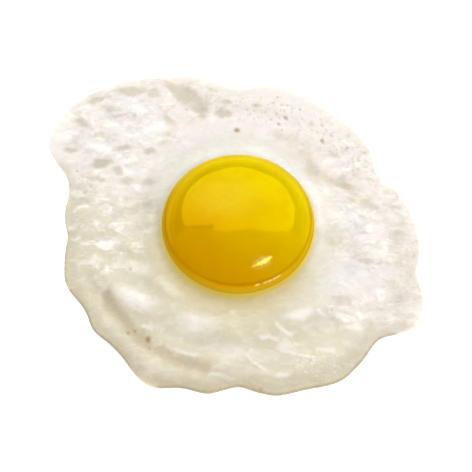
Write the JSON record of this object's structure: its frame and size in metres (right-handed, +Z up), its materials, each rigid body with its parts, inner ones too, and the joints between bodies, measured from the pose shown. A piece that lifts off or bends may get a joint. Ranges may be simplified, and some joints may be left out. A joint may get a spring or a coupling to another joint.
{
  "type": "fried egg",
  "caption": "Sunny-side-up fried egg: a thin, lobed and blistered egg white lying flat, with a glossy domed yolk held in a pocket of it.",
  "frame": {"origin": "on the flat underside of the white, straight below the middle of the yolk", "axes": "+Z up out of the yolk; +X towards the broad lobe on the right of the picture and +Y towards the far side of the egg, the top of the picture"},
  "size_m": [0.109, 0.1016, 0.0166],
  "materials": {
    "egg_white": "set egg white: cream to white, translucent where it is thin, wet satin sheen",
    "yolk": "runny egg yolk under a thin film: deep yellow, smooth and glossy"
  },
  "bodies": {
    "root": {"egg_white": "egg_white", "yolk": "yolk"}
  },
  "joints": []
}
